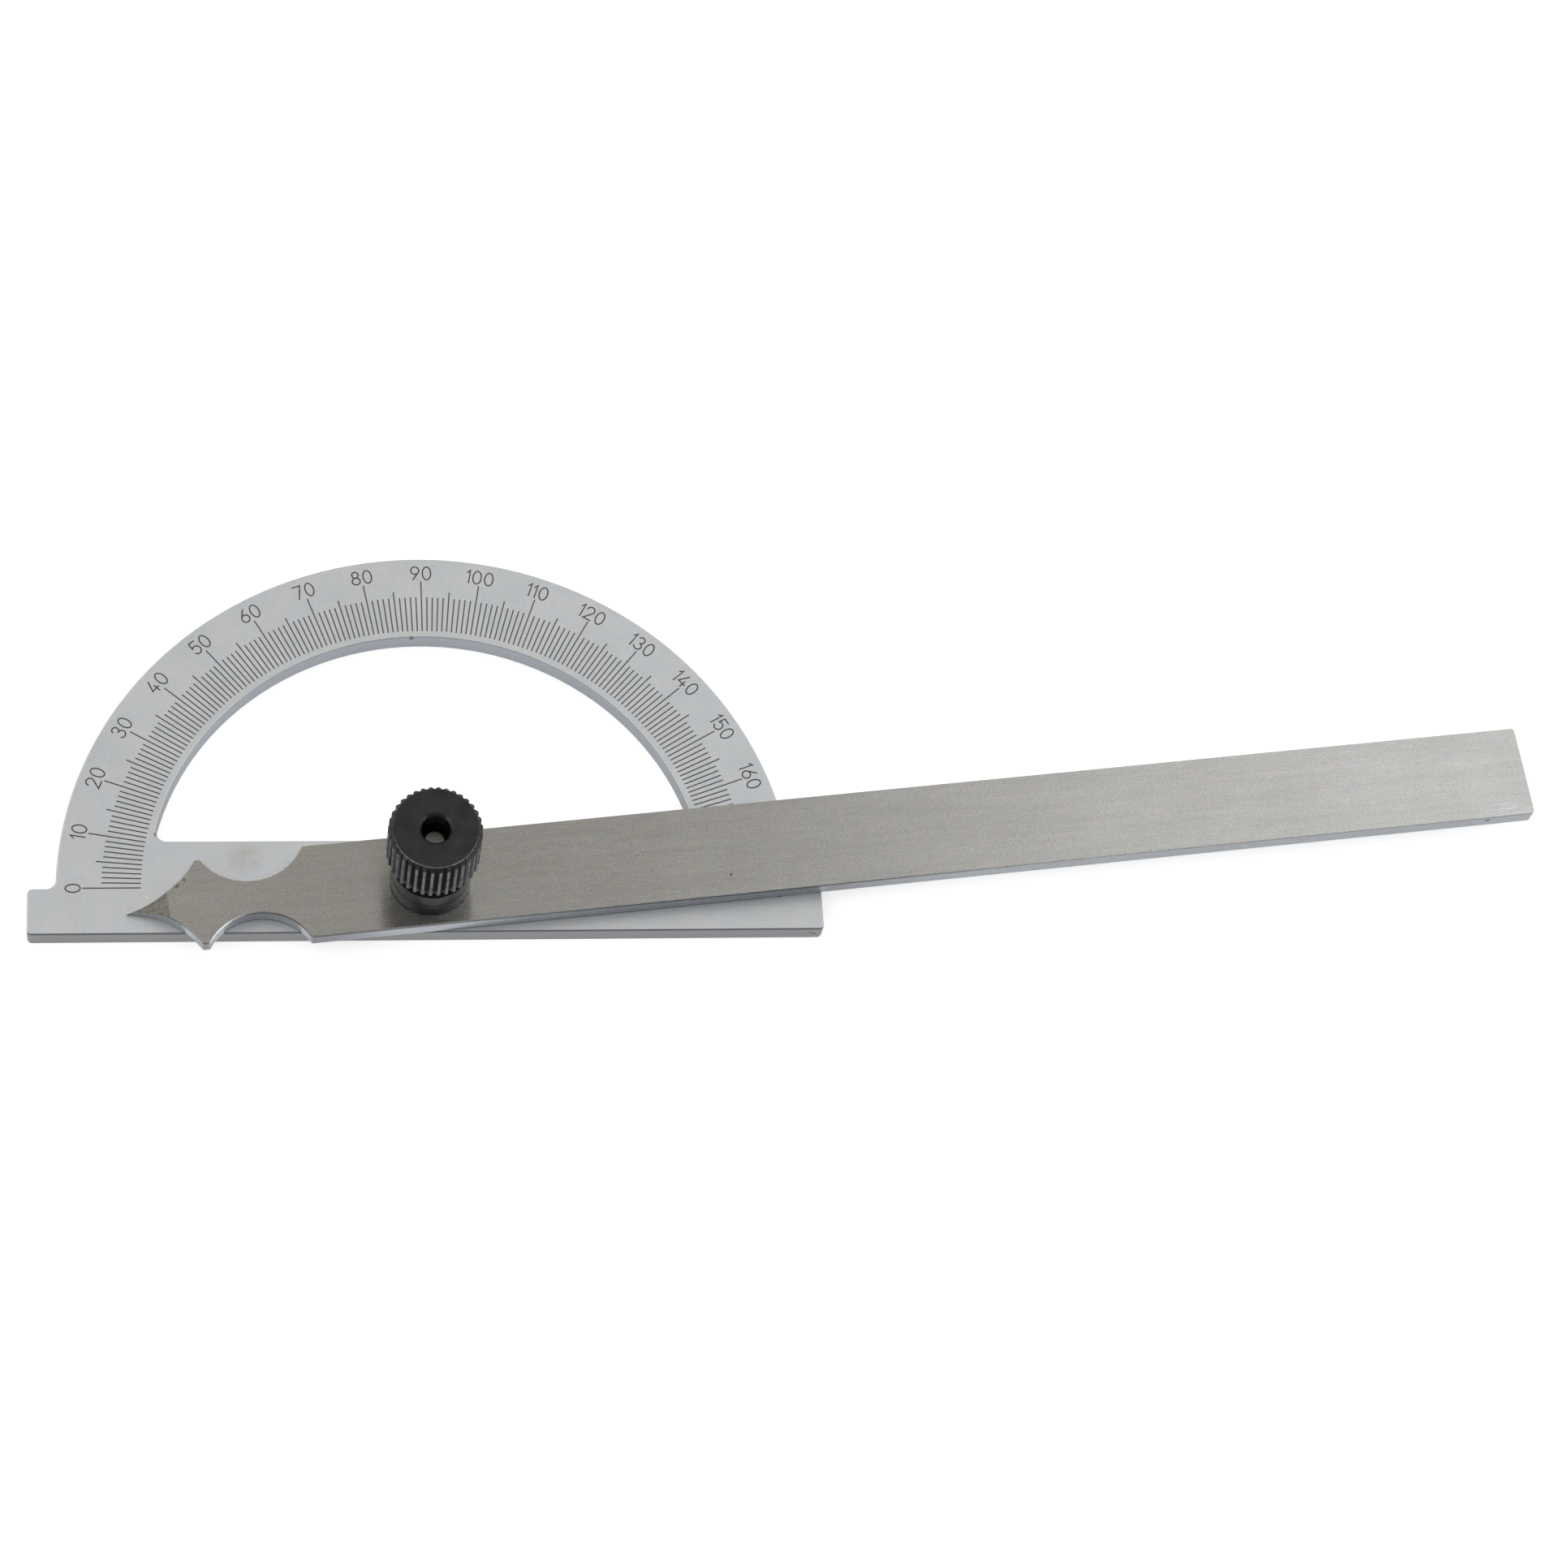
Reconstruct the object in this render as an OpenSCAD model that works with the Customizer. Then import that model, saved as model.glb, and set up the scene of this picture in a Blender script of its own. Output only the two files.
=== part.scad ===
// Machinist's bevel protractor: a half-ring scale plate with a straight base, a turning blade
// with a pointer, and a knurled nut that clamps the blade on its pivot stud.
// Millimetres. The origin is where the pivot axis meets the underside of the plate. +Z is up,
// the half ring stands towards +Y, and the long end of the blade lies towards +X.

/* [Scale plate] */
// Outside diameter of the half ring
arc_d = 80; // [76:1:100]
// Radial width of the half ring
ring_w = 9.8; // [9.5:0.1:12]
// Thickness of the plate
plate_t = 2.5; // [2:0.1:4]
// Width of the straight base, centred on the pivot
base_w = 10.7; // [10:0.1:14]
// How far each end of the base stands out past the ring
ear_l = 3; // [2.5:0.1:6]
// Radius of the inside corner between an ear and the ring
ear_fillet_r = 1.1; // [0.5:0.1:2]
// Extra width of the base under the window
sill_w = 0.15; // [0:0.05:1]
// Radius in the two corners of the window
window_fillet_r = 1.3; // [0.4:0.1:2]
// Corner cut on the ends of the base
base_corner = 0.3; // [0.1:0.05:1]

/* [Scale marks] */
// Angle from one mark to the next, in degrees
mark_step = 1; // [1:1:5]
// Width of an engraved mark
mark_w = 0.15; // [0.1:0.01:0.25]
// Depth of an engraved mark
mark_depth = 0.06; // [0.03:0.01:0.15]
// Plain rim between the window and the inner ends of the marks
mark_rim = 0.75; // [0.5:0.05:1]
// Length of a plain mark
mark_short_l = 4.2; // [3:0.1:4.5]
// Length of each fifth mark
mark_mid_l = 4.95; // [4.6:0.05:5.4]
// Length of each tenth mark
mark_long_l = 6.2; // [5.5:0.1:7]

/* [Blade] */
// From the pivot to the square end of the blade
blade_reach = 124.7; // [80:0.1:200]
// Width of the blade
blade_w = 10.7; // [10:0.1:13]
// Thickness of the blade
blade_t = 2; // [1.5:0.1:3]
// Corner cut on the square end
blade_corner = 0.3; // [0.1:0.05:1]
// Angle of the blade to the base, in degrees
blade_angle = 5.8; // [0:0.1:10]

/* [Pointer] */
// Length of the tip past the side spikes
tip_l = 7.7; // [6.5:0.1:9]
// How far the hand-ground tip lies off the blade's centre line
tip_offset = 0.1; // [-0.5:0.05:0.5]
// Length of the slope that thins the tip from above
tip_slope_l = 4.5; // [2:0.1:6]
// Thickness that the slope leaves at the tip
tip_t = 0.25; // [0.2:0.05:1]
// Radius of the two hollow cuts that form the tip
tip_cut_r = 10; // [8:0.5:20]
// Width across the two side spikes
spike_span = 9.7; // [9:0.1:10]
// Width of the blunt end of a side spike
spike_flat = 0.7; // [0.3:0.1:1]
// From the pivot to the middle of the two round notches
notch_reach = 18.9; // [16:0.1:20]
// Radius of the round notches
notch_r = 6.2; // [5:0.1:7]
// Width that the notches leave between them
waist_w = 3.8; // [3:0.1:5]

/* [Pivot stud] */
// Diameter of the head let into the underside of the plate
head_d = 8; // [7:0.1:9]
// Thickness of the head
head_h = 1; // [0.8:0.1:1.3]
// Diameter of the journal that the blade turns on
journal_d = 5; // [4.5:0.1:6]
// Outside diameter of the thread
thread_d = 3; // [2.5:0.5:4]
// From the top of the nut down to the end of the stud
stud_inset = 3.2; // [3:0.1:6]
// Chamfer on the end of the thread
stud_chamfer = 0.5; // [0.1:0.05:0.6]

/* [Clamp washer] */
// Diameter of the washer
washer_d = 8.7; // [8:0.1:9.5]
// Thickness of the washer
washer_t = 2.8; // [1:0.1:4]
// Chamfer on the edges of the washer
washer_chamfer = 0.3; // [0.1:0.05:0.5]

/* [Knurled nut] */
// Diameter over the knurl
nut_d = 10.05; // [9.7:0.05:14]
// Height of the whole nut
nut_h = 10.7; // [10:0.1:14]
// Number of teeth in the knurl
knurl_teeth = 36; // [30:1:44]
// Depth of the knurl
knurl_depth = 0.43; // [0.2:0.01:0.5]
// Height of the plain neck under the knurl
neck_h = 2; // [1:0.1:2.5]
// Diameter of the plain neck
neck_d = 8.7; // [8:0.1:9]
// Width of the groove between the neck and the knurl
groove_w = 2.3; // [0.5:0.1:2.5]
// Depth of that groove
groove_depth = 0.5; // [0.2:0.05:0.8]
// Height of the chamfer on the top edge
nut_chamfer_h = 0.55; // [0.3:0.05:1.5]
// Countersink on both ends of the threaded hole
countersink = 0.3; // [0.1:0.05:0.4]

/* [Fits] */
// Radial clearance between the blade and its journal
turning_fit = 0.05; // [0.02:0.01:0.1]
// Radial clearance between the nut and the thread
thread_fit = 0.05; // [0.02:0.01:0.1]
// Radial clearance between the washer and the thread
washer_fit = 0.09; // [0.02:0.01:0.1]
// Radial clearance around the stud where it is pressed into the plate
press_fit = 0.01; // [0.01:0.01:0.02]
// How far the journal stays below the top of the blade
clamp_gap = 0.1; // [0.05:0.01:0.2]

/* [Hidden] */
$fn = 96;

// Reach of a cut past the face that it opens
past = 1;
// A fillet's circle runs this far over the lines that it joins, so that they cross
fillet_lap = 0.02;
// Straight steps in each hollow cut beside the tip
tip_cut_steps = 14;
// Share of a knurl tooth that is flat on top
tooth_flat = 0.3;
// The flat top of the nut ends this far inside the foot of the knurl
disc_inset = 0.05;
// Reach of the chamfer's cone past the teeth of the knurl
cone_past = 0.2;

arc_r = arc_d / 2;
window_r = arc_r - ring_w;
window_y = base_w / 2 + sill_w;
base_half_l = arc_r + ear_l;
mark_r = window_r + mark_rim;
spike_y = spike_span / 2;
notch_y = waist_w / 2 + notch_r;
// The blunt spike ends where the notch cuts its outer edge
spike_in = notch_reach + sqrt(notch_r * notch_r - (notch_y - spike_y) * (notch_y - spike_y));
spike_out = spike_in + spike_flat;
tip_reach = spike_out + tip_l;
// Levels up the pivot axis
blade_z = plate_t;
washer_z = blade_z + blade_t;
nut_z = washer_z + washer_t;
nut_top_z = nut_z + nut_h;
stud_top_z = nut_top_z - stud_inset;
journal_top_z = washer_z - clamp_gap;
// Levels and radii in the nut, from its own lower face
knurl_z = neck_h + groove_w;
nut_r = nut_d / 2;
knurl_root_r = nut_r - knurl_depth;
thread_hole_r = thread_d / 2 + thread_fit;

// Unit vector at an angle
function dir(a) = [cos(a), sin(a)];

// Points inside the short arc of radius r from p to q, whose middle is on the right of that way
function hollow_points(p, q, r, steps) =
    let (
        half = (q - p) / 2,
        right = [half.y, -half.x] / norm(half),
        middle = p + half + right * sqrt(r * r - half * half),
        start = atan2(p.y - middle.y, p.x - middle.x),
        sweep = -2 * asin(norm(half) / r)
    )
    [for (i = [1 : steps - 1]) middle + r * dir(start + sweep * i / steps)];

// Fills the corner that pts spans, up to a circle of radius r around the middle
module corner_web(middle, r, pts) {
    difference() {
        polygon(concat([middle], pts));
        translate(middle) circle(r = r + fillet_lap);
    }
}

// Straight base under the half ring, with its corners cut
module base_outline() {
    far = base_half_l;
    front = -base_w / 2;
    polygon([
        [-far, front + base_corner], [-far + base_corner, front],
        [far - base_corner, front], [far, front + base_corner],
        [far, -base_corner], [far - base_corner, 0],
        [-far + base_corner, 0], [-far, -base_corner]
    ]);
    // The part between the ring's feet reaches up to the window
    translate([-arc_r + ring_w / 2, front + past])
        square([arc_d - ring_w, window_y - front - past]);
}

// Web between an ear and the outside of the ring, on the +X side
module ear_fillet() {
    middle = [sqrt((arc_r + ear_fillet_r) * (arc_r + ear_fillet_r) - ear_fillet_r * ear_fillet_r),
        ear_fillet_r];
    on_ring = middle * (arc_r - past) / norm(middle);
    corner_web(middle, ear_fillet_r, [on_ring, [arc_r - past, -past], [middle.x, -past]]);
}

// Web in a corner of the window, on the +X side
module window_fillet() {
    y = window_y + window_fillet_r;
    r = window_r - window_fillet_r;
    middle = [sqrt(r * r - y * y), y];
    on_ring = middle * (window_r + past) / norm(middle);
    low = window_y - past;
    corner_web(middle, window_fillet_r, [[middle.x, low], [window_r + past, low], on_ring]);
}

module plate_outline() {
    difference() {
        union() {
            intersection() {
                circle(r = arc_r, $fn = 360);
                translate([-arc_d, -past]) square([2 * arc_d, arc_d]);
            }
            base_outline();
            for (side = [0, 1]) mirror([side, 0]) ear_fillet();
        }
        intersection() {
            circle(r = window_r, $fn = 360);
            translate([-arc_d, window_y]) square([2 * arc_d, arc_d]);
        }
    }
    for (side = [0, 1]) mirror([side, 0]) window_fillet();
}

// Engraved marks, from 0 on the -X side round to 180 on the +X side
module scale_marks() {
    for (a = [0 : mark_step : 180]) {
        length = a % 10 == 0 ? mark_long_l : a % 5 == 0 ? mark_mid_l : mark_short_l;
        rotate(180 - a) translate([mark_r, -mark_w / 2]) square([length, mark_w]);
    }
}

module protractor_plate() {
    color([0.74, 0.76, 0.78])
    difference() {
        linear_extrude(plate_t) plate_outline();
        translate([0, 0, plate_t - mark_depth]) linear_extrude(mark_depth + past) scale_marks();
        translate([0, 0, -past]) cylinder(h = head_h + past, r = head_d / 2 + press_fit);
        translate([0, 0, -past]) cylinder(h = plate_t + 2 * past, r = journal_d / 2 + press_fit);
    }
}

// Outline of the blade before the notches, with the pivot at the origin
module blade_outline() {
    tip = [-tip_reach, tip_offset];
    side = blade_w / 2;
    low_spike = [-spike_out, -spike_y];
    high_spike = [-spike_out, spike_y];
    polygon(concat(
        [tip],
        hollow_points(tip, low_spike, tip_cut_r, tip_cut_steps),
        [
            low_spike, [-notch_reach, -spike_y], [-notch_reach, -side],
            [blade_reach - blade_corner, -side], [blade_reach, -side + blade_corner],
            [blade_reach, side - blade_corner], [blade_reach - blade_corner, side],
            [-notch_reach, side], [-notch_reach, spike_y], high_spike
        ],
        hollow_points(high_spike, tip, tip_cut_r, tip_cut_steps)
    ));
}

// Everything above the slope of the tip
module above_tip_slope() {
    fall = (blade_t - tip_t) / tip_slope_l;
    rotate([90, 0, 0])
        linear_extrude(spike_span, center = true)
        polygon([
            [-tip_reach - past, tip_t - past * fall],
            [-tip_reach + tip_slope_l + past, blade_t + past * fall],
            [-tip_reach - past, blade_t + past * fall]
        ]);
}

module blade() {
    color([0.62, 0.61, 0.59])
    translate([0, 0, blade_z])
    rotate(blade_angle)
    difference() {
        linear_extrude(blade_t) blade_outline();
        for (side = [-1, 1])
            translate([-notch_reach, side * notch_y, -past])
                cylinder(h = blade_t + 2 * past, r = notch_r, $fn = 180);
        translate([0, 0, -past])
            cylinder(h = blade_t + 2 * past, r = journal_d / 2 + turning_fit);
        above_tip_slope();
    }
}

// Head flush with the underside, journal for the blade, and the thread for the nut
module pivot_stud() {
    head_r = head_d / 2;
    journal_r = journal_d / 2;
    thread_r = thread_d / 2;
    color([0.72, 0.7, 0.66])
    rotate_extrude()
        polygon([
            [0, 0], [head_r, 0], [head_r, head_h], [journal_r, head_h],
            [journal_r, journal_top_z], [thread_r, journal_top_z],
            [thread_r, stud_top_z - stud_chamfer], [thread_r - stud_chamfer, stud_top_z],
            [0, stud_top_z]
        ]);
}

// Plain thick ring between the blade and the nut
module clamp_washer() {
    hole_r = thread_d / 2 + washer_fit;
    rim_r = washer_d / 2;
    color([0.13, 0.13, 0.14])
    translate([0, 0, washer_z])
    rotate_extrude()
        polygon([
            [hole_r, 0], [rim_r - washer_chamfer, 0], [rim_r, washer_chamfer],
            [rim_r, washer_t - washer_chamfer], [rim_r - washer_chamfer, washer_t],
            [hole_r, washer_t]
        ]);
}

// Section of the straight knurl: each tooth has a flat top between two V-shaped valleys
module knurl_section() {
    pitch = 360 / knurl_teeth;
    polygon([
        for (i = [0 : knurl_teeth - 1])
            for (corner = [[0, knurl_root_r], [0.5 - tooth_flat / 2, nut_r], [0.5 + tooth_flat / 2, nut_r]])
                corner[1] * dir((i + corner[0]) * pitch)
    ]);
}

module knurled_head() {
    disc_r = knurl_root_r - disc_inset;
    // The cone of the chamfer runs on past the teeth
    cone_r = nut_r + cone_past;
    cone_h = nut_chamfer_h * (cone_r - disc_r) / (nut_r - disc_r);
    intersection() {
        linear_extrude(nut_h) knurl_section();
        rotate_extrude()
            polygon([
                [0, knurl_z], [cone_r, knurl_z], [cone_r, nut_h - cone_h], [disc_r, nut_h], [0, nut_h]
            ]);
    }
}

module knurled_nut() {
    neck_r = neck_d / 2;
    groove_r = neck_r - groove_depth;
    color([0.13, 0.13, 0.14])
    translate([0, 0, nut_z])
    difference() {
        union() {
            knurled_head();
            cylinder(h = neck_h, r = neck_r);
            cylinder(h = knurl_z + past, r = groove_r);
        }
        translate([0, 0, -past]) cylinder(h = nut_h + 2 * past, r = thread_hole_r);
        // Countersinks
        cylinder(h = countersink, r1 = thread_hole_r + countersink, r2 = thread_hole_r);
        translate([0, 0, nut_h - countersink])
            cylinder(h = countersink, r1 = thread_hole_r, r2 = thread_hole_r + countersink);
    }
}

protractor_plate();
blade();
pivot_stud();
clamp_washer();
knurled_nut();
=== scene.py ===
import math

import bmesh
import bpy
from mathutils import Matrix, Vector


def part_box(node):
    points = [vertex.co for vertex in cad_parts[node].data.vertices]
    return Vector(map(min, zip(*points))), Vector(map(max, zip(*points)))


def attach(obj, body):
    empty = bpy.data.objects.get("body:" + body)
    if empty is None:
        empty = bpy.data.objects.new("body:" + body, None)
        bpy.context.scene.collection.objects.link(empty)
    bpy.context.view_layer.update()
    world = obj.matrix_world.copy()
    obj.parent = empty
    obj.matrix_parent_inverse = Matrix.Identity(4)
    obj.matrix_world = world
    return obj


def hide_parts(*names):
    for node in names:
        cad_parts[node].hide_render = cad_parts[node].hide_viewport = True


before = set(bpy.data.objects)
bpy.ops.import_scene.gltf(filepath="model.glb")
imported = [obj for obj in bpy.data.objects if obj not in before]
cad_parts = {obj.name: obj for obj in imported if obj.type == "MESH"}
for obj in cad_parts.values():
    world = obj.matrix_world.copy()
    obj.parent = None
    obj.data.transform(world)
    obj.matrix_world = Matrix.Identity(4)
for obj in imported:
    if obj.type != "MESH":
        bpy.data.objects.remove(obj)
bpy.context.view_layer.update()

MM = 0.001

# Places on the part, taken from the CAD meshes in model.glb
PLATE_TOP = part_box("protractor_plate")[1].z
BLADE_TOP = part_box("blade")[1].z
STUD_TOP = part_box("pivot_stud")[1].z
NUT_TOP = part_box("knurled_nut")[1].z

# The degree scale. Mark 0 points along -X and the marks run clockwise to 180
MARK_INNER_R = 30.95 * MM
MARK_OUTER_R = 37.15 * MM
MARK_DEPTH = 0.06 * MM
# The marks lie in a half ring this much wider than they are, and behind this Y
MARK_MARGIN = 0.3 * MM
MARK_FRONT_Y = -0.5 * MM
NUMBER_R = 38.18 * MM
NUMBER_H = 1.6 * MM
NUMBER_STEP = 10
STROKE_W = 0.15 * MM
STROKE_PROUD = 0.006 * MM
DIGIT_GAP = 0.4 * MM
CAP_STEPS = 6

# The blade's brushing runs along the blade
BLADE_ANGLE = math.radians(5.8)
# Where the pointer's slope begins, along the blade
POINTER_SLOPE_X = -28.08 * MM
# The pointer's edges stay sharp up to here, in world X
POINTER_SPARED_X = -24.3 * MM

# Pivot stud: head under the plate, journal in the blade, and an M3 thread
HEAD_R = 4 * MM
HEAD_H = 1 * MM
JOURNAL_R = 2.5 * MM
JOURNAL_TOP = 4.4 * MM
THREAD_R = 1.5 * MM
THREAD_ROOT_R = 1.19 * MM
THREAD_END_R = 1 * MM
THREAD_PITCH = 0.5 * MM
THREAD_STEPS = 40
# Share of the pitch and radius, from the root over one flank to the crest
THREAD_PROFILE = [(0.0, THREAD_ROOT_R), (0.12, THREAD_ROOT_R), (0.5, THREAD_R), (0.62, THREAD_R)]

# Knurled nut: radius over the teeth, and radius of the flat on top
NUT_R = 5.025 * MM
DISC_R = 4.545 * MM

# Edges of the CAD nodes that turn by more than this are crisp, and get a bevel
CRISP_ANGLE = math.radians(20)
THREAD_CRISP_ANGLE = math.radians(28)
# Distances under which vertices are one
NODE_WELD = 0.001 * MM
STUD_WELD = 0.0005 * MM

# Marks of use: middle in metres, and radius
STAIN = ((-19.8 * MM, 3.4 * MM, PLATE_TOP), 2.6 * MM)
SCUFFS = ((121.5 * MM, 8.1 * MM, BLADE_TOP), 4.5 * MM)
# Small nicks in the edges: middle and radius, in millimetres
PLATE_NICKS = [((-1.2, 30.2, 2.2), 0.4), ((-29.3, 6.3, 2.3), 0.45),
               ((42.0, -5.35, 1.2), 0.35), ((41.6, -5.35, 1.5), 0.25)]
BLADE_NICKS = [((-26.3, 0.15, 4.4), 0.3), ((-27.15, -0.65, 4.3), 0.42),
               ((119.1, 6.75, 3.9), 0.35), ((32.8, 0.32, 4.5), 0.22)]

# Linear colours
CHROME_COOL = (0.695, 0.725, 0.76)
CHROME_WARM = (0.73, 0.745, 0.75)
# Painted shade on the plate's walls, and a painted dark reflection along its front edge
CHROME_FRONT_WALL_SHADE = (0.237, 0.24, 0.247)
CHROME_RING_WALL_SHADE = (0.32, 0.342, 0.372)
CHROME_EDGE_DARK_REFLECTION = (0.15, 0.155, 0.17)
CHROME_STAIN = (0.55, 0.52, 0.45)
CHROME_SPECK = (0.12, 0.11, 0.10)
CHROME_NICK = (0.10, 0.09, 0.08)
GROOVE = (0.19, 0.18, 0.165)
STEEL_COOL = (0.58, 0.59, 0.583)
STEEL_WARM = (0.628, 0.60, 0.567)
# Painted shade on the pointer's slope
STEEL_SLOPE_SHADE = (0.155, 0.144, 0.122)
STEEL_SCUFF = (0.82, 0.82, 0.82)
# Painted shade on the blade's walls, a painted dark reflection and a painted highlight on their top, and
# painted shade at their foot
STEEL_WALL_SHADE_OVER_PLATE = (0.38, 0.40, 0.435)
STEEL_WALL_SHADE_LEFT = (0.21, 0.22, 0.24)
STEEL_WALL_SHADE_RIGHT = (0.31, 0.325, 0.345)
STEEL_EDGE_DARK_REFLECTION = (0.10, 0.10, 0.105)
STEEL_GLINT = (0.95, 0.955, 0.97)
STEEL_CONTACT_SHADE = (0.07, 0.065, 0.075)
STEEL_NICK = (0.06, 0.056, 0.052)
OXIDE_TOP = (0.045, 0.0485, 0.0495)
# Painted shade on the sides of the nut and the washer
OXIDE_SIDE_SHADE = (0.016, 0.0185, 0.0195)
# Wear and a painted highlight on the knurl's crests, and a painted highlight on the top face's rim
OXIDE_CREST_WEAR_AND_HIGHLIGHT = (0.15, 0.155, 0.16)
OXIDE_RIM_HIGHLIGHT = (0.36, 0.365, 0.37)
STUD_STEEL = (0.34, 0.325, 0.29)
INK = (0.085, 0.076, 0.066)
PAPER = (0.93, 0.93, 0.93)
# Light that the floor adds for the camera and in reflections
PAPER_LIFT = 0.6

# The white tent: X of a direction and the tent's colour there, overhead
TENT_BAND = [(-0.5, (1.05, 1.05, 1.04)), (-0.14, (0.53, 0.51, 0.475)), (0.1, (0.40, 0.387, 0.365)),
             (0.21, (0.80, 0.80, 0.80)), (0.32, (1.01, 1.02, 1.03)), (0.8, (1.0, 1.01, 1.03))]
TENT_LOW = (1.0, 1.0, 1.0)
TENT_FRONT = (0.2, 0.2, 0.2)
# Size in metres, place and watts. Two stand low beside the camera, one is higher up on its left
SOFTBOXES = [(0.2, (-0.59, -0.32, 0.19), 0.18), (0.2, (0.59, -0.32, 0.19), 0.18),
             (0.1, (-0.25, -0.36, 0.54), 0.22)]
FLOOR_HALF = 4.0

# The camera, as found from the scale's marks in the photo
LENS_MM = 98.285
SENSOR_MM = 36
CAMERA_AT = (-0.02488, -0.18323, 0.43065)
CAMERA_TURN = (24.7406, -7.0281, -3.3998)


# ---------------------------------------------------------------- shader helpers

def add(tree, kind, inputs=None, **settings):
    """A new node. An input that is a socket gets linked, any other is set."""
    made = tree.nodes.new(kind)
    for key, value in settings.items():
        setattr(made, key, value)
    for key, value in (inputs or {}).items():
        if isinstance(value, bpy.types.NodeSocket):
            tree.links.new(value, made.inputs[key])
        else:
            made.inputs[key].default_value = value
    return made


def calc(tree, operation, *values):
    """The result of one math operation on sockets or numbers."""
    return add(tree, "ShaderNodeMath", dict(enumerate(values)), operation=operation).outputs[0]


def chain(tree, operation, values):
    """One math operation over two or more values, from left to right."""
    result = values[0]
    for value in values[1:]:
        result = calc(tree, operation, result, value)
    return result


def product(tree, *values):
    """The values multiplied."""
    return chain(tree, "MULTIPLY", values)


def ramp(tree, value, low, high, to_low=0.0, to_high=1.0, smooth=False):
    """value mapped from low..high to to_low..to_high, and held past the ends."""
    inputs = {"Value": value, "From Min": low, "From Max": high, "To Min": to_low, "To Max": to_high}
    kind = "SMOOTHSTEP" if smooth else "LINEAR"
    return add(tree, "ShaderNodeMapRange", inputs, interpolation_type=kind).outputs["Result"]


def mix(tree, share, a, b):
    """Colour a where share is 0, and b where it is 1. A colour is a socket or three numbers."""
    a, b = ((*c, 1) if isinstance(c, tuple) else c for c in (a, b))
    return add(tree, "ShaderNodeMix", {0: share, 6: a, 7: b}, data_type="RGBA").outputs[2]


def tint(tree, colour, factor):
    """colour times a number."""
    made = add(tree, "ShaderNodeVectorMath", {0: colour, "Scale": factor}, operation="SCALE")
    return made.outputs[0]


def axes(tree, vector):
    """X, Y and Z of a vector."""
    return add(tree, "ShaderNodeSeparateXYZ", {0: vector}).outputs


def from_pivot(tree, part):
    """Distance from the pivot axis. part is a place split into X, Y and Z."""
    squares = [calc(tree, "POWER", part[i], 2.0) for i in (0, 1)]
    return calc(tree, "SQRT", calc(tree, "ADD", *squares))


def noise(tree, place, size, detail=2.0, rough=0.5):
    """Noise of about 0..1 whose lumps are roughly size metres wide."""
    inputs = {"Vector": place, "Scale": 1 / size, "Detail": detail, "Roughness": rough}
    return add(tree, "ShaderNodeTexNoise", inputs).outputs["Fac"]


def spots(tree, place, spacing, radius):
    """1 in small round dots, one in each cell that is about spacing metres wide, else 0."""
    inputs = {"Vector": place, "Scale": 1 / spacing, "Randomness": 1.0}
    distance = add(tree, "ShaderNodeTexVoronoi", inputs).outputs["Distance"]
    return ramp(tree, distance, radius / spacing, 0.4 * radius / spacing)


def blob(tree, place, centre, radius, soft=0.5):
    """1 near centre, fading to 0 at radius. centre is in metres in the object's frame."""
    away = add(tree, "ShaderNodeVectorMath", {0: place, 1: centre}, operation="DISTANCE").outputs["Value"]
    return ramp(tree, away, radius, radius * (1 - soft), smooth=True)


def nick_mask(tree, place, nicks):
    """1 in the nicks of a list, else 0."""
    masks = [blob(tree, place, [c * MM for c in centre], radius * MM) for centre, radius in nicks]
    return chain(tree, "MAXIMUM", masks)


def wall_mask(tree):
    """1 on upright walls, and 0 on level faces and gentle slopes."""
    normal = add(tree, "ShaderNodeNewGeometry").outputs["True Normal"]
    return ramp(tree, axes(tree, normal)[2], 0.8, 0.4)


def edge_line(tree, height, top):
    """1 on the rounded edge at the top of the walls, fading out down the wall."""
    below = ramp(tree, height, top - 0.004 * MM, top - 0.02 * MM)
    return product(tree, below, ramp(tree, height, top - 0.42 * MM, top - 0.22 * MM))


def scale_zone(tree, part, radius):
    """1 in the half ring of the degree marks, at any height."""
    outside = calc(tree, "GREATER_THAN", radius, MARK_INNER_R - MARK_MARGIN)
    inside = calc(tree, "LESS_THAN", radius, MARK_OUTER_R + MARK_MARGIN)
    return product(tree, outside, inside, calc(tree, "GREATER_THAN", part[1], MARK_FRONT_Y))


def groove_mask(tree, part):
    """1 on the floors of the engraved marks."""
    below = calc(tree, "LESS_THAN", part[2], PLATE_TOP - MARK_DEPTH / 2)
    above = calc(tree, "GREATER_THAN", part[2], PLATE_TOP - 2 * MARK_DEPTH)
    return product(tree, below, above, scale_zone(tree, part, from_pivot(tree, part)))


def material(name):
    """A new material. Returns it with its tree, its shader and the object coordinates."""
    made = bpy.data.materials.new(name)
    made.use_nodes = True
    tree = made.node_tree
    shader = tree.nodes["Principled BSDF"]
    place = add(tree, "ShaderNodeTexCoord").outputs["Object"]
    return made, tree, shader, place


def bump(tree, shader, height, distance, strength):
    """Gives a shader relief that is distance metres high where height is 1."""
    made = add(tree, "ShaderNodeBump", {"Height": height, "Distance": distance, "Strength": strength})
    tree.links.new(made.outputs["Normal"], shader.inputs["Normal"])


# ---------------------------------------------------------------- materials

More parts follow.
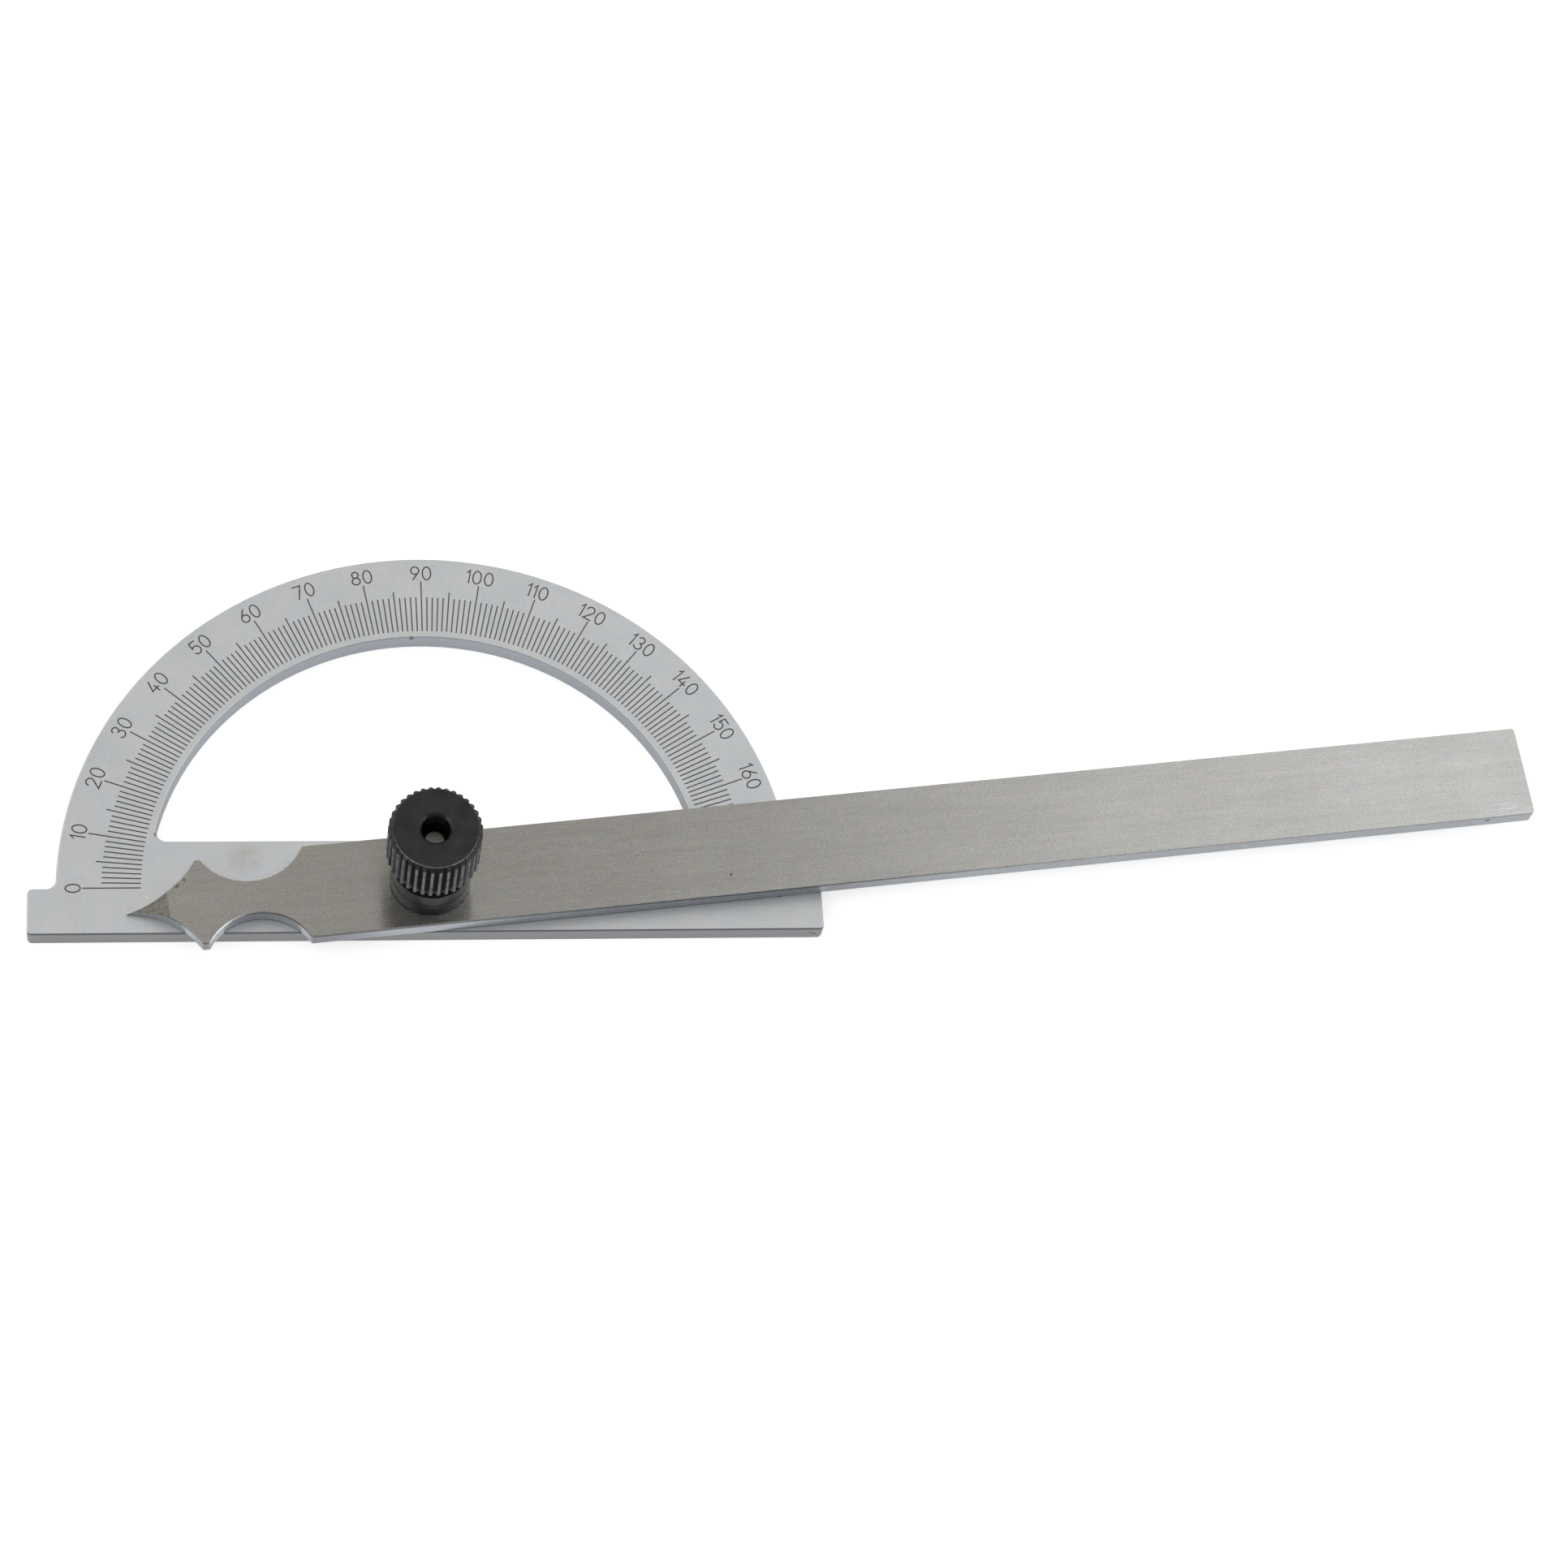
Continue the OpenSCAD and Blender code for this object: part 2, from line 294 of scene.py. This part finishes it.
def satin_chrome():
    """The plate: matt grey chrome over a fine blast, with dark grooves in the scale."""
    made, tree, shader, place = material("satin_chrome")
    part = axes(tree, place)
    grain = noise(tree, place, 0.16 * MM, 3, 0.65)
    cloud = noise(tree, place, 7 * MM, 2)
    level = product(tree, ramp(tree, grain, 0.25, 0.75, 0.92, 1.08),
                    ramp(tree, cloud, 0.3, 0.7, 0.975, 1.025))
    warmth = ramp(tree, noise(tree, place, 3 * MM, 3), 0.35, 0.65)
    colour = tint(tree, mix(tree, warmth, CHROME_COOL, CHROME_WARM), level)
    # A faint brown stain beside the blade, broken up by noise
    patchy = ramp(tree, noise(tree, place, 1.1 * MM, 3), 0.3, 0.65, 0.15, 0.7)
    colour = mix(tree, product(tree, blob(tree, place, *STAIN, 0.9), patchy), colour, CHROME_STAIN)
    # Dark pin specks
    colour = mix(tree, product(tree, spots(tree, place, 2.6 * MM, 0.09 * MM), 0.55), colour, CHROME_SPECK)
    # The walls are painted darker than the top, as shade, the walls of the ring paler than the front of the
    # base
    walls = mix(tree, ramp(tree, part[1], 2 * MM, 15 * MM), CHROME_FRONT_WALL_SHADE, CHROME_RING_WALL_SHADE)
    colour = mix(tree, wall_mask(tree), colour, tint(tree, walls, level))
    # The top of the front edge is painted as a dark line, a painted dark reflection
    line = product(tree, edge_line(tree, part[2], PLATE_TOP), ramp(tree, part[1], -5.0 * MM, -5.2 * MM))
    colour = mix(tree, line, colour, CHROME_EDGE_DARK_REFLECTION)
    colour = mix(tree, product(tree, nick_mask(tree, place, PLATE_NICKS), 0.75), colour, CHROME_NICK)
    colour = mix(tree, groove_mask(tree, part), colour, GROOVE)
    tree.links.new(colour, shader.inputs["Base Color"])
    shader.inputs["Metallic"].default_value = 1.0
    tree.links.new(ramp(tree, grain, 0.2, 0.8, 0.42, 0.52), shader.inputs["Roughness"])
    bump(tree, shader, grain, 0.003 * MM, 0.6)
    return made


def brushed_steel():
    """The blade: stainless steel ground along its length, so highlights stretch across it."""
    made, tree, shader, place = material("brushed_steel")
    spot = axes(tree, place)
    turn = {"Vector": place, "Rotation": (0, 0, -BLADE_ANGLE)}
    along = add(tree, "ShaderNodeMapping", turn).outputs["Vector"]
    part = axes(tree, along)
    streaks = add(tree, "ShaderNodeMapping", {"Vector": along, "Scale": (0.05, 1, 1)}).outputs["Vector"]
    dashes = add(tree, "ShaderNodeMapping", {"Vector": along, "Scale": (0.3, 1, 1)}).outputs["Vector"]
    fine = noise(tree, streaks, 0.08 * MM, 3, 0.6)
    grit = noise(tree, dashes, 0.1 * MM, 2, 0.6)
    broad = noise(tree, streaks, 0.7 * MM, 2)
    cloud = noise(tree, along, 9 * MM, 2)
    level = product(tree, ramp(tree, fine, 0.25, 0.75, 0.86, 1.14), ramp(tree, broad, 0.3, 0.7, 0.96, 1.04),
                    ramp(tree, grit, 0.25, 0.75, 0.8, 1.2), ramp(tree, cloud, 0.3, 0.7, 0.97, 1.03))
    warmth = ramp(tree, noise(tree, along, 0.8 * MM, 3, 0.6), 0.35, 0.65)
    colour = tint(tree, mix(tree, warmth, STEEL_COOL, STEEL_WARM), level)
    # The slope on the pointer was ground by hand; it is painted darker, as shade, and warmer
    slope = product(tree, ramp(tree, part[0], POINTER_SLOPE_X + 0.05 * MM, POINTER_SLOPE_X - 0.05 * MM),
                    ramp(tree, noise(tree, along, 0.5 * MM, 3), 0.35, 0.65, 0.84, 1.0))
    colour = mix(tree, slope, colour, tint(tree, STEEL_SLOPE_SHADE, level))
    # Bright scuffs along the lower edge near the square end
    scuffs = product(tree, blob(tree, place, *SCUFFS, 0.8),
                     ramp(tree, noise(tree, streaks, 0.15 * MM, 2), 0.5, 0.62),
                     ramp(tree, part[1], -3.2 * MM, -4.0 * MM), 0.7)
    colour = mix(tree, scuffs, colour, STEEL_SCUFF)
    # Its walls are painted darker than the top, as shade, and shaded differently where they stand over the
    # plate and where they stand past its front or right edge
    beyond = calc(tree, "MAXIMUM", ramp(tree, spot[1], -5.7 * MM, -6.5 * MM),
                  ramp(tree, spot[0], 42 * MM, 44 * MM))
    outer = mix(tree, ramp(tree, part[0], 36 * MM, 60 * MM, smooth=True), STEEL_WALL_SHADE_LEFT, STEEL_WALL_SHADE_RIGHT)
    walls = mix(tree, beyond, STEEL_WALL_SHADE_OVER_PLATE, outer)
    colour = mix(tree, wall_mask(tree), colour, tint(tree, walls, level))
    # Where the walls face the front their top is painted as a dark line, a painted dark reflection, which
    # fades out towards the square end
    top_edge = edge_line(tree, spot[2], BLADE_TOP)
    facing = axes(tree, add(tree, "ShaderNodeTexCoord").outputs["Normal"])
    forward = ramp(tree, facing[1], -0.1, -0.4)
    front = calc(tree, "MAXIMUM", ramp(tree, facing[1], -0.8, -0.92), ramp(tree, facing[0], 0.05, -0.2))
    line = product(tree, top_edge, product(tree, front, forward),
                   ramp(tree, part[0], 40 * MM, 75 * MM, 1.0, 0.0, smooth=True))
    colour = mix(tree, line, colour, STEEL_EDGE_DARK_REFLECTION)
    # Where they face the front and the right it carries a painted highlight, a bright glint
    glint = product(tree, ramp(tree, facing[0], 0.25, 0.5), forward,
                    ramp(tree, noise(tree, place, 0.6 * MM, 2), 0.35, 0.6, 0.3, 1.0), top_edge)
    colour = mix(tree, glint, colour, STEEL_GLINT)
    # Painted shade darkens the foot of the walls where they meet the plate
    contact_shade = product(tree, wall_mask(tree), ramp(tree, spot[2], PLATE_TOP + 0.16 * MM, PLATE_TOP + 0.06 * MM),
                   ramp(tree, part[0], 38 * MM, 36 * MM), 0.8)
    colour = mix(tree, contact_shade, colour, STEEL_CONTACT_SHADE)
    ragged = ramp(tree, noise(tree, place, 0.3 * MM, 2), 0.4, 0.5)
    colour = mix(tree, product(tree, nick_mask(tree, place, BLADE_NICKS), ragged, 0.8), colour, STEEL_NICK)
    tree.links.new(colour, shader.inputs["Base Color"])
    shader.inputs["Metallic"].default_value = 1.0
    tree.links.new(ramp(tree, fine, 0.2, 0.8, 0.22, 0.30), shader.inputs["Roughness"])
    shader.inputs["Anisotropic"].default_value = 1.0
    across = (-math.sin(BLADE_ANGLE), math.cos(BLADE_ANGLE), 0)
    tangent = add(tree, "ShaderNodeVectorTransform", {0: across}, vector_type="VECTOR",
                  convert_from="OBJECT", convert_to="WORLD").outputs[0]
    tree.links.new(tangent, shader.inputs["Tangent"])
    bump(tree, shader, calc(tree, "ADD", fine, grit), 0.001 * MM, 0.5)
    return made


def black_oxide():
    """The nut and the washer: black oxide with a satin sheen, lighter on the knurl's crests from wear and
    painted highlight, with a painted highlight round the top face's rim.
    """
    made, tree, shader, place = material("black_oxide")
    part = axes(tree, place)
    radius = from_pivot(tree, part)
    grain = noise(tree, place, 0.12 * MM, 3, 0.6)
    cloud = noise(tree, place, 1.6 * MM, 2)
    level = product(tree, ramp(tree, grain, 0.25, 0.75, 0.75, 1.25), ramp(tree, cloud, 0.3, 0.7, 0.8, 1.2))
    # Its sides are painted darker than the top, as shade
    colour = mix(tree, wall_mask(tree), tint(tree, OXIDE_TOP, level), tint(tree, OXIDE_SIDE_SHADE, level))
    # The knurl's crests are lighter, partly from wear and partly as a painted highlight, and a painted
    # highlight runs round the rim of the top face, mostly at the front
    wear_and_highlight = ramp(tree, noise(tree, place, 0.9 * MM, 3), 0.35, 0.65, 0.25, 1.0)
    crest = ramp(tree, radius, NUT_R - 0.12 * MM, NUT_R - 0.04 * MM)
    rim = product(tree, ramp(tree, part[2], NUT_TOP - 0.07 * MM, NUT_TOP - 0.03 * MM),
                  ramp(tree, radius, DISC_R - 0.07 * MM, DISC_R - 0.02 * MM),
                  ramp(tree, part[1], -0.5 * MM, -3.0 * MM, 0.15, 1.0))
    colour = mix(tree, product(tree, crest, wear_and_highlight), colour, OXIDE_CREST_WEAR_AND_HIGHLIGHT)
    colour = mix(tree, product(tree, rim, wear_and_highlight), colour, OXIDE_RIM_HIGHLIGHT)
    tree.links.new(colour, shader.inputs["Base Color"])
    shader.inputs["Metallic"].default_value = 0.55
    shader.inputs["Specular IOR Level"].default_value = 0.3
    shader.inputs["Specular Tint"].default_value = (0.5, 0.5, 0.5, 1)
    tree.links.new(ramp(tree, grain, 0.2, 0.8, 0.20, 0.31), shader.inputs["Roughness"])
    bump(tree, shader, grain, 0.001 * MM, 0.6)
    return made


def turned_steel():
    """The stud: bare steel with fine rings from the lathe."""
    made, tree, shader, place = material("turned_steel")
    radius = from_pivot(tree, axes(tree, place))
    grain = noise(tree, place, 0.2 * MM, 3, 0.6)
    rings = calc(tree, "SINE", product(tree, radius, 2 * math.pi / (0.14 * MM)))
    level = product(tree, ramp(tree, rings, -1.0, 1.0, 0.93, 1.04), ramp(tree, grain, 0.25, 0.75, 0.85, 1.12))
    tree.links.new(tint(tree, STUD_STEEL, level), shader.inputs["Base Color"])
    shader.inputs["Metallic"].default_value = 1.0
    tree.links.new(ramp(tree, grain, 0.2, 0.8, 0.34, 0.44), shader.inputs["Roughness"])
    bump(tree, shader, rings, 0.003 * MM, 0.5)
    return made


def mark_ink():
    """The etched numbers: a dark brownish grey that varies a little along each stroke."""
    made, tree, shader, place = material("mark_ink")
    level = ramp(tree, noise(tree, place, 0.15 * MM, 2), 0.3, 0.7, 0.75, 1.3)
    tree.links.new(tint(tree, INK, level), shader.inputs["Base Color"])
    shader.inputs["Roughness"].default_value = 0.7
    shader.inputs["Specular IOR Level"].default_value = 0.3
    return made


def paper_white():
    """The floor: white paper, lifted to pure white where the camera or a reflection sees it."""
    made, tree, shader, place = material("paper_white")
    fibre = ramp(tree, noise(tree, place, 0.4 * MM, 2), 0.3, 0.7, 0.995, 1.005)
    tree.links.new(tint(tree, PAPER, fibre), shader.inputs["Base Color"])
    shader.inputs["Roughness"].default_value = 0.9
    shader.inputs["Specular IOR Level"].default_value = 0.0
    ray = add(tree, "ShaderNodeLightPath").outputs
    seen = chain(tree, "MAXIMUM", [ray["Is Camera Ray"], ray["Is Glossy Ray"], ray["Is Transmission Ray"]])
    shader.inputs["Emission Color"].default_value = (1, 1, 1, 1)
    tree.links.new(product(tree, seen, PAPER_LIFT), shader.inputs["Emission Strength"])
    return made


# ---------------------------------------------------------------- finish of the CAD nodes

def edge_prep(name, spare):
    """Geometry nodes that weld a node's patches and mark its crisp edges for a bevel.

    spare is "marks" where the edges of the engraved marks stay crisp, "pointer" where the pointer's do,
    and None where all crisp edges are bevelled."""
    tree = bpy.data.node_groups.new(name, "GeometryNodeTree")
    tree.interface.new_socket("Geometry", in_out="INPUT", socket_type="NodeSocketGeometry")
    tree.interface.new_socket("Geometry", in_out="OUTPUT", socket_type="NodeSocketGeometry")
    start = add(tree, "NodeGroupInput").outputs[0]
    plain = add(tree, "GeometryNodeRemoveAttribute", {"Geometry": start, "Name": "custom_normal"}).outputs[0]
    welded = add(tree, "GeometryNodeMergeByDistance", {"Geometry": plain, "Distance": NODE_WELD}).outputs[0]
    angle = add(tree, "GeometryNodeInputMeshEdgeAngle").outputs["Unsigned Angle"]
    crisp = add(tree, "FunctionNodeCompare", {"A": angle, "B": CRISP_ANGLE},
                operation="GREATER_THAN").outputs[0]
    smooth = add(tree, "GeometryNodeSetShadeSmooth", {"Geometry": welded, "Shade Smooth": True}).outputs[0]
    split = add(tree, "GeometryNodeSetShadeSmooth",
                {"Geometry": smooth, "Selection": crisp, "Shade Smooth": False}, domain="EDGE").outputs[0]
    weight = crisp
    part = axes(tree, add(tree, "GeometryNodeInputPosition").outputs[0])
    if spare == "marks":
        on_mark = scale_zone(tree, part, from_pivot(tree, part))
        weight = product(tree, crisp, calc(tree, "SUBTRACT", 1.0, on_mark))
    elif spare == "pointer":
        weight = product(tree, crisp, calc(tree, "GREATER_THAN", part[0], POINTER_SPARED_X))
    stored = add(tree, "GeometryNodeStoreNamedAttribute",
                 {"Geometry": split, "Name": "bevel_weight_edge", "Value": weight},
                 domain="EDGE", data_type="FLOAT")
    end = add(tree, "NodeGroupOutput")
    tree.links.new(stored.outputs[0], end.inputs[0])
    return tree


def dress(node, finish, round_by, segments=2, spare=None):
    """Gives a CAD node its material, and rounds its crisp edges by a hair."""
    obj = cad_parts[node]
    obj.data.materials.clear()
    obj.data.materials.append(finish)
    prep = obj.modifiers.new("weld", "NODES")
    prep.node_group = edge_prep(node + "_edges", spare)
    bevel = obj.modifiers.new("edge_break", "BEVEL")
    bevel.limit_method = "WEIGHT"
    bevel.width = round_by
    bevel.segments = segments
    # Only the plain chamfers of the knurl's close edges are clamped
    bevel.use_clamp_overlap = segments == 1
    bevel.loop_slide = False
    bevel.harden_normals = True


def new_piece(name, bm, finish, body):
    """Turns a bmesh into a piece that rides on a body."""
    mesh = bpy.data.meshes.new(name)
    bmesh.ops.recalc_face_normals(bm, faces=bm.faces)
    bm.to_mesh(mesh)
    bm.free()
    mesh.materials.append(finish)
    obj = bpy.data.objects.new(name, mesh)
    bpy.context.scene.collection.objects.link(obj)
    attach(obj, body)
    return obj


# ---------------------------------------------------------------- numbers of the scale

def arc(cx, cy, rx, ry, start, end, steps=20):
    """Points along an ellipse from start to end, in degrees, anticlockwise when end is larger."""
    turns = [math.radians(start + (end - start) * i / steps) for i in range(steps + 1)]
    return [(cx + rx * math.cos(t), cy + ry * math.sin(t)) for t in turns]


# Strokes of each digit, in a cell 1 high whose middle is at x = 0
SIX = [[(0.13, 1.0), (-0.235, 0.44)], arc(0, 0.29, 0.28, 0.29, 0, 360)]
DIGITS = {
    "0": [arc(0, 0.5, 0.29, 0.5, 0, 360, 28)],
    "1": [[(-0.1, 0.78), (0.08, 1.0), (0.08, 0.0)]],
    "2": [arc(0, 0.73, 0.27, 0.27, 175, -35) + [(-0.28, 0.0), (0.28, 0.0)]],
    "3": [arc(-0.01, 0.76, 0.23, 0.24, 160, -90), arc(-0.01, 0.26, 0.28, 0.26, 90, -155)],
    "4": [[(0.12, 0.0), (0.12, 0.52)], [(0.06, 1.0), (-0.28, 0.27), (0.3, 0.27)]],
    "5": [[(0.24, 1.0), (-0.2, 1.0), (-0.235, 0.52)], arc(-0.01, 0.32, 0.28, 0.32, 140, -150)],
    "6": SIX,
    "7": [[(-0.28, 1.0), (0.28, 1.0), (-0.1, 0.0)]],
    "8": [arc(0, 0.765, 0.22, 0.235, 0, 360), arc(0, 0.265, 0.28, 0.265, 0, 360)],
    "9": [[(-x, 1 - y) for x, y in stroke] for stroke in SIX],
}


def digit_sides(digit):
    """Leftmost and rightmost x of a digit's strokes."""
    xs = [x for stroke in DIGITS[digit] for x, _ in stroke]
    return min(xs), max(xs)


def end_cap(centre, outward, radius):
    """Points of a half circle round a stroke's end, clockwise, without its two ends."""
    start = math.atan2(outward.y, outward.x) + math.pi / 2
    turns = [start - math.pi * i / CAP_STEPS for i in range(1, CAP_STEPS)]
    return [centre + radius * Vector((math.cos(t), math.sin(t))) for t in turns]


def ribbon_faces(points, width):
    """Corners of the flat faces of a band along points, with mitred corners and round ends."""
    closed = (points[0] - points[-1]).length < width / 100
    if closed:
        points = points[:-1]
    count = len(points)
    left, right = [], []
    for i, point in enumerate(points):
        before = points[i - 1] if closed or i else None
        after = points[(i + 1) % count] if closed or i < count - 1 else None
        ahead = (after - point).normalized() if after else (point - before).normalized()
        behind = (point - before).normalized() if before else ahead
        middle = (ahead + behind).normalized()
        # A sharp corner's mitre is held to two and a half times the width
        reach = width / 2 / max(0.4, middle.dot(ahead))
        normal = Vector((-middle.y, middle.x)) * reach
        left.append(point + normal)
        right.append(point - normal)
    if closed:
        following = [(i + 1) % count for i in range(count)]
        return [[left[i], left[j], right[j], right[i]] for i, j in enumerate(following)]
    first, last = (points[0] - points[1]).normalized(), (points[-1] - points[-2]).normalized()
    return [left + end_cap(points[-1], last, width / 2) + right[::-1] + end_cap(points[0], first, width / 2)]


def ribbon(bm, points, width, low, high):
    """A closed band along points, from level low to level high."""
    made = {}

    def vertex(p, z):
        key = (round(p.x * 1e8), round(p.y * 1e8), z)
        if key not in made:
            made[key] = bm.verts.new((p.x, p.y, z))
        return made[key]

    uses = {}
    for face in ribbon_faces(points, width):
        for z in (low, high):
            bm.faces.new([vertex(p, z) for p in face])
        for i, p in enumerate(face):
            q = face[(i + 1) % len(face)]
            pair = frozenset((vertex(p, high), vertex(q, high)))
            uses.setdefault(pair, []).append((p, q))
    # An edge that only one face uses is on the outline and gets a wall
    for found in uses.values():
        if len(found) == 1:
            p, q = found[0]
            bm.faces.new([vertex(p, low), vertex(q, low), vertex(q, high), vertex(p, high)])


def scale_numbers(finish):
    """0 to 180 round the ring, tops outward, read clockwise.

    The top of a digit's second stroke is a hair above that of its first."""
    bm = bmesh.new()
    for degrees in range(0, 181, NUMBER_STEP):
        text = str(degrees)
        widths = [digit_sides(d)[1] - digit_sides(d)[0] for d in text]
        total = sum(widths) * NUMBER_H + (len(text) - 1) * DIGIT_GAP
        direction = math.radians(180 - degrees)
        outward = Vector((math.cos(direction), math.sin(direction)))
        right = Vector((outward.y, -outward.x))
        x = -total / 2
        for digit, width in zip(text, widths):
            origin = x - digit_sides(digit)[0] * NUMBER_H
            for level, stroke in enumerate(DIGITS[digit]):
                points = [outward * (NUMBER_R + (py - 0.5) * NUMBER_H) + right * (origin + px * NUMBER_H)
                          for px, py in stroke]
                top = PLATE_TOP + STROKE_PROUD * (1 + 0.3 * level)
                ribbon(bm, points, STROKE_W, PLATE_TOP - STROKE_PROUD, top)
            x += width * NUMBER_H + DIGIT_GAP
    new_piece("scale_numbers", bm, finish, "plate")


# ---------------------------------------------------------------- threaded stud

def thread_rows(bm):
    """Rows of vertices across the thread, one for each step of its turns, cut off flat at both ends."""
    turns = math.ceil((STUD_TOP - JOURNAL_TOP) / THREAD_PITCH) + 2
    rows = []
    for i in range(turns * THREAD_STEPS + 1):
        angle = 2 * math.pi * i / THREAD_STEPS
        row = []
        for share, radius in THREAD_PROFILE:
            z = JOURNAL_TOP + THREAD_PITCH * (i / THREAD_STEPS + share - 1)
            if z <= JOURNAL_TOP:
                radius = THREAD_ROOT_R
            # The chamfer on the end
            radius = min(radius, THREAD_END_R + max(0, STUD_TOP - z))
            z = min(max(z, JOURNAL_TOP), STUD_TOP)
            row.append(bm.verts.new((radius * math.cos(angle), radius * math.sin(angle), z)))
        rows.append(row)
    return rows


def threaded_stud(finish):
    """The pivot stud with its real M3 thread, in place of the plain solid."""
    bm = bmesh.new()
    rows = thread_rows(bm)
    for i in range(len(rows) - 1):
        for k in range(len(THREAD_PROFILE)):
            if k + 1 < len(THREAD_PROFILE):
                upper = (rows[i][k + 1], rows[i + 1][k + 1])
            elif i + 1 + THREAD_STEPS < len(rows):
                # The crest's far side comes down to the root of the next turn
                upper = (rows[i + THREAD_STEPS][0], rows[i + 1 + THREAD_STEPS][0])
            else:
                continue
            bm.faces.new([rows[i][k], rows[i + 1][k], upper[1], upper[0]])
    # Lathe-turned rest: the end face, and then the shoulder, the journal and the head
    lathe_bands(bm, [(0, STUD_TOP), (THREAD_END_R, STUD_TOP)])
    lathe_bands(bm, [(THREAD_ROOT_R, JOURNAL_TOP), (JOURNAL_R, JOURNAL_TOP), (JOURNAL_R, HEAD_H),
                     (HEAD_R, HEAD_H), (HEAD_R, 0), (0, 0)])
    bmesh.ops.remove_doubles(bm, verts=bm.verts, dist=STUD_WELD)
    bmesh.ops.dissolve_degenerate(bm, edges=bm.edges, dist=STUD_WELD)
    stud = new_piece("threaded_stud", bm, finish, "plate")
    for face in stud.data.polygons:
        face.use_smooth = True
    stud.data.set_sharp_from_angle(angle=THREAD_CRISP_ANGLE)
    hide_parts("pivot_stud")


def lathe_bands(bm, outline):
    """Faces round the pivot axis along an outline of radius and height. Radius 0 is a point on the axis."""
    turns = [2 * math.pi * i / THREAD_STEPS for i in range(THREAD_STEPS)]
    for band in zip(outline, outline[1:]):
        rings = []
        for radius, z in band:
            if radius == 0:
                rings.append([bm.verts.new((0, 0, z))] * THREAD_STEPS)
            else:
                rings.append([bm.verts.new((radius * math.cos(t), radius * math.sin(t), z)) for t in turns])
        for i in range(THREAD_STEPS):
            j = (i + 1) % THREAD_STEPS
            corners = [rings[0][i], rings[0][j], rings[1][j], rings[1][i]]
            bm.faces.new(list(dict.fromkeys(corners)))


# ---------------------------------------------------------------- stage

def floor():
    """A wide sheet of white paper under the part."""
    bm = bmesh.new()
    bmesh.ops.create_grid(bm, x_segments=1, y_segments=1, size=FLOOR_HALF)
    mesh = bpy.data.meshes.new("floor")
    bm.to_mesh(mesh)
    bm.free()
    mesh.materials.append(paper_white())
    obj = bpy.data.objects.new("floor", mesh)
    bpy.context.scene.collection.objects.link(obj)


def studio_light():
    """A white tent with a greyer band overhead, dark where the photographer stands, and three softboxes."""
    world = bpy.data.worlds.new("studio")
    bpy.context.scene.world = world
    world.use_nodes = True
    tree = world.node_tree
    ray = add(tree, "ShaderNodeTexCoord").outputs["Generated"]
    part = axes(tree, ray)
    # Overhead, the greyer band runs along Y
    band = add(tree, "ShaderNodeValToRGB", {0: ramp(tree, part[0], -1.0, 1.0)})
    band.color_ramp.interpolation = "EASE"
    elements = band.color_ramp.elements
    while len(elements) < len(TENT_BAND):
        elements.new(0.5)
    for element, (x, colour) in zip(elements, TENT_BAND):
        element.position = (x + 1) / 2
        element.color = (*colour, 1)
    # The front is dark from just over the floor upwards
    front = product(tree, ramp(tree, part[1], -0.2, -0.55, smooth=True),
                    ramp(tree, part[2], 0.1, 0.22, smooth=True))
    colour = mix(tree, ramp(tree, part[2], 0.15, 0.5, smooth=True), TENT_LOW, band.outputs[0])
    colour = mix(tree, front, colour, TENT_FRONT)
    background = tree.nodes["Background"]
    tree.links.new(colour, background.inputs["Color"])
    background.inputs["Strength"].default_value = 1.0
    for size, place, watts in SOFTBOXES:
        softbox(size, place, watts)


def softbox(size, place, watts):
    """A square lamp that faces the pivot and lights the rims of the part."""
    data = bpy.data.lights.new("softbox", "AREA")
    data.shape = "SQUARE"
    data.size = size
    data.energy = watts
    obj = bpy.data.objects.new("softbox", data)
    obj.location = place
    obj.rotation_euler = (-obj.location).to_track_quat("-Z", "Y").to_euler()
    bpy.context.scene.collection.objects.link(obj)


def camera():
    """The camera at the photo's viewpoint."""
    data = bpy.data.cameras.new("camera")
    data.lens = LENS_MM
    data.sensor_width = SENSOR_MM
    data.clip_start = 0.01
    obj = bpy.data.objects.new("camera", data)
    obj.location = CAMERA_AT
    obj.rotation_euler = [math.radians(a) for a in CAMERA_TURN]
    bpy.context.scene.collection.objects.link(obj)
    bpy.context.scene.camera = obj


# ---------------------------------------------------------------- the scene

chrome = satin_chrome()
oxide = black_oxide()
dress("protractor_plate", chrome, 0.15 * MM, spare="marks")
dress("blade", brushed_steel(), 0.13 * MM, spare="pointer")
dress("clamp_washer", oxide, 0.05 * MM)
dress("knurled_nut", oxide, 0.03 * MM, segments=1)
threaded_stud(turned_steel())
scale_numbers(mark_ink())
floor()
studio_light()
camera()
bpy.context.scene.view_settings.view_transform = "Standard"

bpy.context.view_layer.update()
